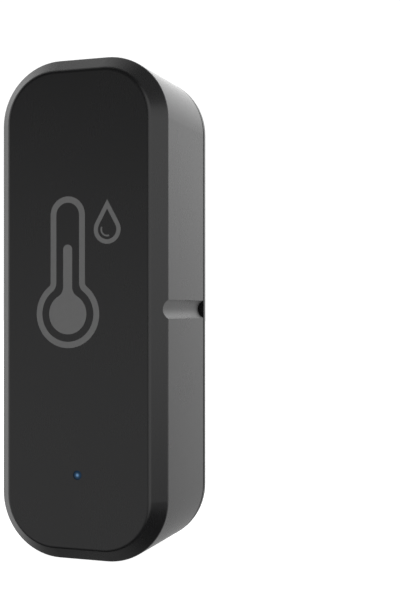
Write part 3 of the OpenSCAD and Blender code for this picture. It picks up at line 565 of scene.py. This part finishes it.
def solder_resist(name, base, track, via, pitch):
    """Solder resist over copper: tracks and poured areas show as a lighter tone, and vias as bright dots.

    The tracks are the joints of an upright brick pattern, and each via is the middle of a scattered cell.
    """
    track_width = 0.14 * pitch
    track_length = 3.7 * pitch
    via_spacing = 2.6 * pitch
    via_edge = (0.09, 0.11)
    pour_edge = (0.52, 0.54)
    upright = (math.radians(90.0), 0.0, 0.0)
    material, tree, shader, place = new_finish(name)
    flat = add(tree, "Mapping", {"Vector": place, "Rotation": upright}).outputs["Vector"]
    tracks = add(tree, "TexBrick", {
        "Vector": flat, "Scale": 1.0, "Color1": BLACK, "Color2": BLACK, "Mortar": WHITE,
        "Mortar Size": track_width, "Mortar Smooth": 0.1, "Brick Width": track_length, "Row Height": pitch,
    }, offset=0.37, squash=0.6, squash_frequency=3).outputs["Color"]
    spots = add(tree, "TexVoronoi", {"Vector": flat, "Scale": 1.0 / via_spacing}, voronoi_dimensions="2D")
    vias = between(tree, spots.outputs["Distance"], via_edge, (1.0, 0.0))
    pour = between(tree, noise(tree, place, size=5 * MM, detail=1.0), pour_edge, (0.0, 1.0))
    copper = combine(tree, "MAXIMUM", tracks, pour)
    mottled = toned(tree, noise(tree, place, size=2 * MM), base, darkest=0.85, lightest=1.15)
    ground = tint(tree, copper, mottled, track)
    connect(tree, shader, {
        "Base Color": tint(tree, vias, ground, via),
        "Metallic": vias,
        "Roughness": 0.3,
    })
    raise_bump(tree, shader, copper, depth=0.02 * MM)
    return material


def shrunk_film(name, base, band, band_share):
    """Printed film on a cell: a pale band at the plus end, a thin line beside it, and a faint shrink ripple.

    The film's own map runs along the cell from the minus end to the plus end.
    """
    blur = 0.002
    line_near = 0.022
    line_far = 0.035
    material, tree, shader, place = new_finish(name)
    surface = add(tree, "UVMap", uv_map="surface").outputs["UV"]
    along = add(tree, "SeparateXYZ", {"Vector": surface}).outputs["Y"]

    def change_at(edge, result):
        """A value that changes at one place along the film, with a slight blur."""
        return between(tree, along, (edge - blur, edge + blur), result)

    start = 1.0 - band_share
    in_band = change_at(start, (0.0, 1.0))
    after = change_at(start - line_far, (0.0, 1.0))
    before = change_at(start - line_near, (1.0, 0.0))
    line = combine(tree, "MULTIPLY", after, before)
    pale = combine(tree, "MAXIMUM", in_band, line)
    clouds = noise(tree, place, size=3 * MM)
    ground = toned(tree, clouds, base, darkest=0.9, lightest=1.1)
    light = toned(tree, clouds, band, darkest=0.95, lightest=1.05)
    connect(tree, shader, {
        "Base Color": tint(tree, pale, ground, light),
        "Roughness": between(tree, pale, (0.0, 1.0), (0.24, 0.32)),
        "Coat Weight": 0.4,
        "Coat Roughness": 0.12,
    })
    ripple = noise(tree, place, size=1.2 * MM, stretch=(1.0, 1.0, 4.0))
    raise_bump(tree, shader, ripple, depth=0.012 * MM)
    return material


def lit_pipe(name, centre, radius, core, halo):
    """Lit clear plastic: the glow falls off from the pipe's axis, which runs along Y, to its edge."""
    fading = (0.08 * radius, 0.78 * radius)
    sharpness = 2.3
    body_tone = 0.6
    across = (1.0, 0.0, 1.0)
    material, tree, shader, place = new_finish(name)
    away = add(tree, "VectorMath", {0: place, 1: centre}, operation="SUBTRACT").outputs[0]
    flat = add(tree, "VectorMath", {0: away, 1: across}, operation="MULTIPLY").outputs[0]
    distance = add(tree, "VectorMath", {0: flat}, operation="LENGTH").outputs["Value"]
    glow = combine(tree, "POWER", between(tree, distance, fading, (1.0, 0.0), smooth=True), sharpness)
    connect(tree, shader, {
        "Base Color": (*scaled_colour(halo, body_tone), 1.0),
        "Roughness": 0.18,
        "Specular IOR Level": 0.2,
        "Emission Color": tint(tree, glow, halo, core),
        "Emission Strength": 1.0,
    })
    return material


# Operators

class SENSOR_OT_case(Operator):
    """Finishes the shell, the rear cover and the printed marks"""

    bl_idname = "sensor.case"
    bl_label = "Finish the case"

    def execute(self, context):
        look = context.scene.sensor_case
        for node, name in (("front_shell", "satin black shell"), ("rear_cover", "satin black cover")):
            dress([node], moulded_plastic(name, look.plastic, look.roughness, look.grain, look.grain_depth))
        dress(["thermometer_mark", "drop_mark"], printed_ink("grey printing ink", look.ink))
        return {"FINISHED"}


class SENSOR_OT_indicator(Operator):
    """Turns the light pipe with its domed end, and finishes the LED behind it"""

    bl_idname = "sensor.indicator"
    bl_label = "Make the indicator"

    def execute(self, context):
        look = context.scene.sensor_indicator
        low, high = node_box("light_pipe")
        tip = end_middle(low, high, Y)
        pipe = turned(self.pipe(look, high[Y] - low[Y]), tip, BACK, steps=48)
        lit = lit_pipe("lit light pipe", tip, look.tip_width / 2, look.core, look.halo)
        make_piece("light_pipe_lens", [pipe], lit, "case", ["light_pipe"])
        white = moulded_plastic(
            "white LED body", look.led_body, roughness=0.3, grain=0.1 * MM, depth=0.002 * MM
        )
        dress(["status_led"], white)
        return {"FINISHED"}

    def pipe(self, look, tall):
        """Profile of the light pipe: a domed tip, a shaft, a flange and a neck.

        On the dome the radius is a sine and the height one minus a cosine of the same angle.
        """
        r = look.tip_width / 2
        dome_r = 0.9 * r
        shaft_start = look.crown + 0.1 * r
        flange_end = look.flange_start + look.flange_thickness
        flange_r = look.flange_width / 2
        neck_r = look.neck_width / 2
        t = quarter_turn()
        dome = np.stack([dome_r * np.sin(t), look.crown * (1 - np.cos(t))], axis=1)
        shaft = softened([
            dome[-1], (r, shaft_start), (r, look.flange_start), (flange_r, look.flange_start),
            (flange_r, flange_end), (neck_r, flange_end), (neck_r, tall), (0.0, tall),
        ], look.edge)
        return np.concatenate([dome[:-1], shaft])


class SENSOR_OT_cells(Operator):
    """Turns the two cells with their film jackets, steel ends, washers and caps"""

    bl_idname = "sensor.cells"
    bl_label = "Make the cells"

    def execute(self, context):
        look = context.scene.sensor_power
        film = shrunk_film("shrunk cell film", look.jacket, look.band, look.band_share)
        steel = plated_metal("bright cell steel", look.nickel, roughness=0.24)
        fibre = moulded_plastic("fibre washer", look.washer, roughness=0.7, grain=0.05 * MM, depth=0.01 * MM)
        plates = []
        for side, up in (("left", 1.0), ("right", -1.0)):
            low, high = node_box(f"cell_{side}")
            foot = end_middle(low, high, Z, up)
            axis = (0.0, 0.0, up)
            r = (high[X] - low[X]) / 2
            jacket = turned(self.jacket(look, r, high[Z] - low[Z]), foot, axis, steps=120)
            make_piece(f"{side}_cell_jacket", [jacket], film, "case", [f"cell_{side}"])
            plates.append(turned(self.foot_plate(look, r - look.fold), foot, axis))
        make_piece("cell_foot_plates", plates, steel, "case")
        caps = [self.at_shoulder(low, high, self.cap) for low, high in solid_boxes("cell_caps")]
        make_piece("cell_cap_nipples", caps, steel, "case", ["cell_caps"])
        seals = [self.at_shoulder(low, high, self.washer) for low, high in solid_boxes("cell_seals")]
        make_piece("cell_washers", seals, fibre, "case", ["cell_seals"])
        return {"FINISHED"}

    def jacket(self, look, r, tall):
        """Profile of a filled jacket: a dished foot, two soft folds and a level shoulder."""
        inner = r - look.fold
        corners = [
            (0.0, look.dish), (inner, look.dish), (inner + look.dish, 0.0), (r, 0.0), (r, tall), (0.0, tall),
        ]
        return softened(corners, look.shoulder, steps=8)

    def foot_plate(self, look, r):
        """Profile of the steel foot: a raised contact face inside a shallow ring."""
        ring_width = 0.8 * MM
        ring_depth = 0.06 * MM
        edge = 0.08 * MM
        face_r = r - ring_width
        corners = [
            (0.0, 0.0), (face_r, 0.0), (face_r + look.dish, ring_depth), (r, ring_depth),
            (r, look.dish), (0.0, look.dish),
        ]
        return softened(corners, edge, steps=4)

    def at_shoulder(self, low, high, profile):
        """A turned grid on a cell's shoulder: upwards on the left cell, and downwards on the right one."""
        up = 1.0 if low[X] < 0 else -1.0
        outline = profile((high[X] - low[X]) / 2, high[Z] - low[Z])
        return turned(outline, end_middle(low, high, Z, up), (0.0, 0.0, up))

    def cap(self, r, tall):
        """Profile of the cap: a drawn nipple with a soft edge and a rounded foot."""
        waist_r = 0.94 * r
        top_r = 0.9 * r
        edge = 0.3 * tall
        return softened([(0.0, 0.0), (r, 0.0), (waist_r, edge), (top_r, tall), (0.0, tall)], edge)

    def washer(self, r, tall):
        """Closed profile of the washer round the cap, with soft edges."""
        hole_r = 0.46 * r
        edge = 0.3 * tall
        seam = (hole_r, 0.5 * tall)
        return softened([seam, (hole_r, tall), (r, tall), (r, 0.0), (hole_r, 0.0), seam], edge, steps=4)


class SENSOR_OT_contacts(Operator):
    """Winds the contact springs and finishes the contact plates"""

    bl_idname = "sensor.contacts"
    bl_label = "Make the contacts"

    def execute(self, context):
        look = context.scene.sensor_power
        drawn = plated_metal("nickelled spring wire", look.nickel, roughness=0.22)
        sheet = plated_metal("nickelled sheet", look.nickel, roughness=0.26, stretch=(1.0, 12.0, 1.0))
        for name, cell, up in (("minus_spring", "cell_left", 1.0), ("bridge_spring", "cell_right", -1.0)):
            low, high = node_box(name)
            # A coil turns about its cell's axis, which isn't quite the middle of the coil's own box
            foot = end_middle(*node_box(cell), Z)
            foot[Z] = low[Z] if up > 0 else high[Z]
            path = self.coil(look, foot, high[Z] - low[Z], up)
            coil = wire_grid(path, look.wire / 2, UP)
            make_piece(f"{name}_coil", [coil], drawn, "case", [name])
        dress(["plus_plate", "minus_plate", "bridge_plate"], sheet)
        return {"FINISHED"}

    def coil(self, look, foot, tall, up):
        """A tapering helix, whose radius falls evenly.

        Its height is a mix of an even rise and a smooth step, which brings the turns closer at both ends.
        """
        even = 0.45
        t = np.linspace(0.0, 1.0, int(look.spring_turns * look.spring_rings) + 1)
        angle = 2 * np.pi * look.spring_turns * t
        r = (look.spring_base + t * (look.spring_tip - look.spring_base)) / 2
        climb = even * t + (1 - even) * t * t * (3 - 2 * t)
        rise = look.wire / 2 + (tall - look.wire) * climb
        return foot + np.stack([r * np.cos(angle), r * np.sin(angle), up * rise], axis=1)


class SENSOR_OT_tray(Operator):
    """Finishes the battery tray and its screws, and raises the polarity marks on the tray's end walls"""

    bl_idname = "sensor.tray"
    bl_label = "Finish the tray"

    def execute(self, context):
        look = context.scene.sensor_tray
        black = moulded_plastic(
            "textured black tray", look.plastic, roughness=0.5, grain=0.2 * MM, depth=0.012 * MM
        )
        dress(["battery_tray"], black)
        dress(["tray_screws"], plated_metal("zinc-plated steel", look.zinc, roughness=0.3))
        make_piece("polarity_marks", self.marks(look), black, "case")
        return {"FINISHED"}

    def marks(self, look):
        """A plus and a minus on each end wall, as grids of rounded bars.

        A minus is a level bar, and a plus is a level and an upright bar that cross. The plus of the upper
        wall is on the left, and that of the lower wall on the right.
        """
        sunk = 0.1 * MM
        span, stroke = look.mark_span, look.mark_stroke
        low, high = node_box("battery_tray")
        cell_x = abs(end_middle(*node_box("cell_left"), Z)[X])
        upper_z = (node_box("bridge_plate")[1][Z] + high[Z]) / 2
        lower_z = (node_box("minus_plate")[0][Z] + low[Z]) / 2
        bars = []
        for plus_x, minus_x, z in ((-cell_x, cell_x, upper_z), (cell_x, -cell_x, lower_z)):
            bars += [(plus_x, z, span, stroke), (plus_x, z, stroke, span), (minus_x, z, span, stroke)]
        grids = []
        for x, z, w, h in bars:
            first = (x - w / 2, high[Y] - sunk, z - h / 2)
            last = (x + w / 2, high[Y] + look.mark_rise, z + h / 2)
            grids += rounded_block(first, last, look.mark_edge)
        return grids


class SENSOR_OT_board(Operator):
    """Finishes the circuit boards, and makes the small chips with their plated ends and the solder joints"""

    bl_idname = "sensor.board"
    bl_label = "Finish the board"

    def execute(self, context):
        look = context.scene.sensor_board
        tin = plated_metal("tinned joints", look.tin, roughness=0.28)
        epoxy = moulded_plastic("chip epoxy", look.epoxy, roughness=0.55, grain=0.05 * MM, depth=0.006 * MM)
        self.boards(look)
        self.large_parts(look, epoxy)
        self.chips(look, epoxy, tin)
        self.joints(tin)
        return {"FINISHED"}

    def boards(self, look):
        """Dresses both boards, the radio's shield can and its antenna."""
        dark_track = scaled_colour(look.radio_resist, factor=2.2)
        green = solder_resist("green solder resist", look.resist, look.track, look.via, look.track_pitch)
        dark = solder_resist("dark solder resist", look.radio_resist, dark_track, look.via, look.track_pitch)
        sheet = plated_metal("tinned shield sheet", look.tin, roughness=0.3, stretch=(10.0, 1.0, 1.0))
        dress(["main_board"], green)
        dress(["radio_board"], dark)
        dress(["radio_can"], sheet)
        dress(["antenna_track"], plated_metal("gilded copper", look.gilt, roughness=0.25))

    def large_parts(self, look, epoxy):
        """Dresses the two chips, the inductor and the reservoir capacitor."""
        ferrite = sintered("grey ferrite", look.ferrite, look.ferrite_fleck, roughness=0.6, grain=0.12 * MM)
        yellow = moulded_plastic(
            "yellow capacitor case", look.reservoir, roughness=0.5, grain=0.08 * MM, depth=0.004 * MM
        )
        dress(["sensor_chip", "regulator_chip"], epoxy)
        dress(["power_inductor"], ferrite)
        dress(["reservoir_capacitor"], yellow)

    def chips(self, look, epoxy, tin):
        """Makes the chip capacitors and resistors, with one piece for all their plated ends."""
        ceramic = sintered("tan ceramic", look.ceramic, look.ceramic_fleck, roughness=0.45, grain=0.06 * MM)
        kinds = (("chip_capacitors", ceramic, "capacitor_ceramic"), ("chip_resistors", epoxy, "chip_black"))
        ends = []
        for name, finish, slot in kinds:
            bodies = []
            for low, high in solid_boxes(name):
                bodies += self.chip_body(low, high, look.edge)
                ends += self.chip_ends(low, high, look.edge)
            make_piece(f"{name}_bodies", bodies, finish, "case", [name])
        make_piece("chip_plated_ends", ends, tin, "case")

    def chip_body(self, low, high, edge):
        """The chip's body, drawn in slightly from its plated ends."""
        end_inset = 0.5 * edge
        side_inset = 0.25 * edge
        body_edge = 0.5 * edge
        size = high - low
        inset = np.where(size == size.max(), end_inset, side_inset)
        inset[Y] = 0.0
        return rounded_block(low + inset, high - inset, body_edge)

    def chip_ends(self, low, high, edge):
        """Two plated ends, each a fifth of the chip's length."""
        end_share = 0.2
        axis = int(np.argmax(high - low))
        reach = end_share * (high[axis] - low[axis])
        near, far = high.copy(), low.copy()
        near[axis] = low[axis] + reach
        far[axis] = high[axis] - reach
        return rounded_block(low, near, edge) + rounded_block(far, high, edge)

    def joints(self, tin):
        """Makes a solder mound over each of the button's terminals, sized by shares of the terminal."""
        across_share = 0.62
        up_share = 0.95
        rise_share = 2.1
        mounds = []
        for low, high in solid_boxes("button_terminals"):
            size = high - low
            reach = (across_share * size[X], up_share * size[Z])
            mounds.append(mound(end_middle(low, high, Y), reach, rise_share * size[Y]))
        make_piece("button_solder_joints", mounds, tin, "case")


class SENSOR_OT_button(Operator):
    """Turns the pairing button's plunger, rivets its plate and finishes its base and terminals"""

    bl_idname = "sensor.button"
    bl_label = "Make the pairing button"

    def execute(self, context):
        look = context.scene.sensor_button
        nylon = moulded_plastic("black nylon", look.nylon, roughness=0.45, grain=0.1 * MM, depth=0.005 * MM)
        plate = plated_metal("silvered plate", look.plate, roughness=0.3, stretch=(12.0, 1.0, 1.0))
        dress(["button_base"], nylon)
        dress(["button_plate"], plate)
        dress(["button_terminals"], plated_metal("silvered terminals", look.terminals, roughness=0.28))
        self.plunger(look, nylon)
        self.rivets(look, nylon)
        return {"FINISHED"}

    def plunger(self, look, nylon):
        """Turns the plunger: a nub, a flange that stays under the plate, and a stem with a low crown."""
        play = 0.02 * MM
        low, high = node_box("button_plunger")
        tall = high[Y] - low[Y]
        r = look.stem_width / 2
        nub_r = look.nub_width / 2
        flange_r = (high[X] - low[X]) / 2
        flange_top = node_box("button_plate")[0][Y] - low[Y] - play
        flange_foot = flange_top - look.flange_thickness
        profile = softened([
            (0.0, 0.0), (nub_r, 0.0), (nub_r, flange_foot), (flange_r, flange_foot),
            (flange_r, flange_top), (r, flange_top), (r, tall - look.crown), (0.0, tall),
        ], look.edge)
        grid = turned(profile, end_middle(low, high, Y), BACK, steps=64)
        make_piece("pairing_plunger", [grid], nylon, "pairing_button", ["button_plunger"])

    def rivets(self, look, nylon):
        """Makes the plate's four melted rivet heads: each is a turned quarter ellipse over a flat foot."""
        low, high = node_box("button_plate")
        t = quarter_turn()
        head = np.stack([look.rivet_width / 2 * np.cos(t), look.rivet_height * np.sin(t)], axis=1)
        profile = np.concatenate([[(0.0, 0.0)], head])
        heads = [
            turned(profile, (x, high[Y], z), BACK, steps=28)
            for x in (low[X] + look.rivet_inset, high[X] - look.rivet_inset)
            for z in (low[Z] + look.rivet_inset, high[Z] - look.rivet_inset)
        ]
        make_piece("button_rivets", heads, nylon, "case")


class Softbox(NamedTuple):
    """A round patch of studio light, far away."""

    azimuth: float  # degrees from the front towards the right
    elevation: float  # degrees above the horizon
    core: float  # degrees from its middle to where it starts to fade
    edge: float  # degrees from its middle to where it ends
    light: float


# Beside each patch stands the stretch of the case that mirrors it towards the camera
SOFTBOXES = (
    Softbox(-110.0, 4.0, 24.0, 56.0, 0.72),  # left rim
    Softbox(-124.0, -48.0, 3.0, 13.0, 0.14),  # lower rim, at the left
    Softbox(-68.0, 0.0, 8.0, 24.0, 0.5),  # rounded foot of the left rim
    Softbox(-84.0, 63.0, 6.0, 20.0, 0.42),  # upper rim
    Softbox(-58.0, 32.0, 20.0, 52.0, 0.03),  # rounded foot of the upper rim, at the left
    Softbox(-25.0, -22.0, 15.0, 42.0, 0.66),  # face
    Softbox(45.0, 8.0, 20.0, 42.0, 1.3),  # rounded foot of the right rim
    Softbox(88.0, 8.0, 14.0, 22.0, 0.47),  # right rim
    Softbox(82.0, 52.0, 6.0, 28.0, 0.22),  # upper right corner of the rim
    Softbox(112.0, 5.0, 22.0, 36.0, 0.8),  # rounded brow of the right rim
    Softbox(180.0, 32.0, 8.0, 55.0, 1.37),  # right side and its upper corner
    Softbox(200.0, 4.0, 5.0, 28.0, 0.95),  # upper corner of the right side, at a grazing angle
    Softbox(-130.0, 72.0, 5.0, 38.0, 0.22),  # upper rim, at the right
    Softbox(168.0, -43.0, 24.0, 47.0, 0.48),  # lower corner of the right side
)
GROUND_LIGHT = 0.02


class SENSOR_OT_stage(Operator):
    """Sets up the camera, the pale floor and the soft studio light"""

    bl_idname = "sensor.stage"
    bl_label = "Set up the stage"

    def execute(self, context):
        look = context.scene.sensor_stage
        context.scene.view_settings.view_transform = "Standard"
        self.camera(context, look)
        self.floor(context, look)
        self.studio(context, look)
        return {"FINISHED"}

    def camera(self, context, look):
        """A level camera at the viewing angle."""
        data = bpy.data.cameras.new("camera")
        data.lens = look.lens
        data.shift_x = look.shift_x
        data.shift_y = look.shift_y
        data.clip_start = 1 * MM
        camera = bpy.data.objects.new("camera", data)
        camera.location = look.camera_place
        camera.rotation_euler = (math.radians(90.0), 0.0, look.camera_turn)
        context.scene.collection.objects.link(camera)
        context.scene.camera = camera

    def floor(self, context, look):
        """A pale floor under the base, which takes a faint shadow and doesn't light the piece from below."""
        reach = np.array([-look.floor_width / 2, look.floor_width / 2])
        x, y = np.meshgrid(reach, reach)
        mesh = bpy.data.meshes.new("floor")
        mesh.from_pydata(np.stack([x, y, np.zeros_like(x)], axis=-1).reshape(-1, 3), [], [(0, 1, 3, 2)])
        material, tree, shader, _ = new_finish("pale floor")
        connect(tree, shader, {
            "Base Color": (look.floor_tone,) * 3 + (1.0,),
            "Roughness": 1.0,
            "Specular IOR Level": 0.0,
            "Emission Color": WHITE,
            "Emission Strength": look.floor_glow,
        })
        mesh.materials.append(material)
        floor = bpy.data.objects.new("floor", mesh)
        floor.visible_diffuse = False
        floor.visible_glossy = False
        floor.visible_transmission = False
        floor.visible_shadow = False
        context.scene.collection.objects.link(floor)

    def studio(self, context, look):
        """Light by direction: a dim ground plus soft round patches. The camera sees a plain white backdrop.

        A patch is full inside its core, and falls to nothing at its edge as a smooth step of the cosine.
        """
        world = bpy.data.worlds.new("studio")
        world.use_nodes = True
        tree = world.node_tree
        direction = add(tree, "TexCoord").outputs["Generated"]
        light = GROUND_LIGHT
        for box in SOFTBOXES:
            a, e = math.radians(box.azimuth), math.radians(box.elevation)
            axis = (math.sin(a) * math.cos(e), -math.cos(a) * math.cos(e), math.sin(e))
            aim = add(tree, "VectorMath", {0: direction, 1: axis}, operation="DOT_PRODUCT").outputs["Value"]
            fading = (math.cos(math.radians(box.edge)), math.cos(math.radians(box.core)))
            light = combine(tree, "ADD", between(tree, aim, fading, (0.0, box.light), smooth=True), light)
        studio = tree.nodes["Background"]
        connect(tree, studio, {"Color": light})
        backdrop = add(tree, "Background", {"Color": WHITE, "Strength": look.backdrop})
        seen = add(tree, "LightPath").outputs["Is Camera Ray"]
        mixed = add(tree, "MixShader", {0: seen, 1: studio.outputs[0], 2: backdrop.outputs[0]})
        connect(tree, tree.nodes["World Output"], {"Surface": mixed.outputs[0]})
        context.scene.world = world


PIECES = (
    SENSOR_OT_case, SENSOR_OT_indicator, SENSOR_OT_cells, SENSOR_OT_contacts,
    SENSOR_OT_tray, SENSOR_OT_board, SENSOR_OT_button, SENSOR_OT_stage,
)


class SENSOR_PT_looks(Panel):
    """Lists the groups of pieces and the stage, with their settings"""

    bl_idname = "SENSOR_PT_looks"
    bl_label = "Room sensor"
    bl_space_type = "VIEW_3D"
    bl_region_type = "UI"
    bl_category = "Sensor"

    def draw(self, context):
        for piece in PIECES:
            self.layout.operator(piece.bl_idname)
        for name in SETTINGS:
            box = self.layout.box()
            group = getattr(context.scene, name)
            for key in group.bl_rna.properties.keys():
                if key not in {"rna_type", "name"}:
                    box.prop(group, key)


def register():
    """Makes the settings, the operators and the panel known to Blender."""
    for name, group in SETTINGS.items():
        bpy.utils.register_class(group)
        setattr(bpy.types.Scene, name, PointerProperty(type=group))
    for piece in PIECES:
        bpy.utils.register_class(piece)
    bpy.utils.register_class(SENSOR_PT_looks)


def unregister():
    """Takes the panel, the operators and the settings away again."""
    bpy.utils.unregister_class(SENSOR_PT_looks)
    for piece in reversed(PIECES):
        bpy.utils.unregister_class(piece)
    for name, group in reversed(SETTINGS.items()):
        delattr(bpy.types.Scene, name)
        bpy.utils.unregister_class(group)


def main():
    """Builds every piece and the stage in order."""
    register()
    bpy.ops.sensor.case()
    bpy.ops.sensor.indicator()
    bpy.ops.sensor.cells()
    bpy.ops.sensor.contacts()
    bpy.ops.sensor.tray()
    bpy.ops.sensor.board()
    bpy.ops.sensor.button()
    bpy.ops.sensor.stage()


if __name__ == "__main__":
    main()
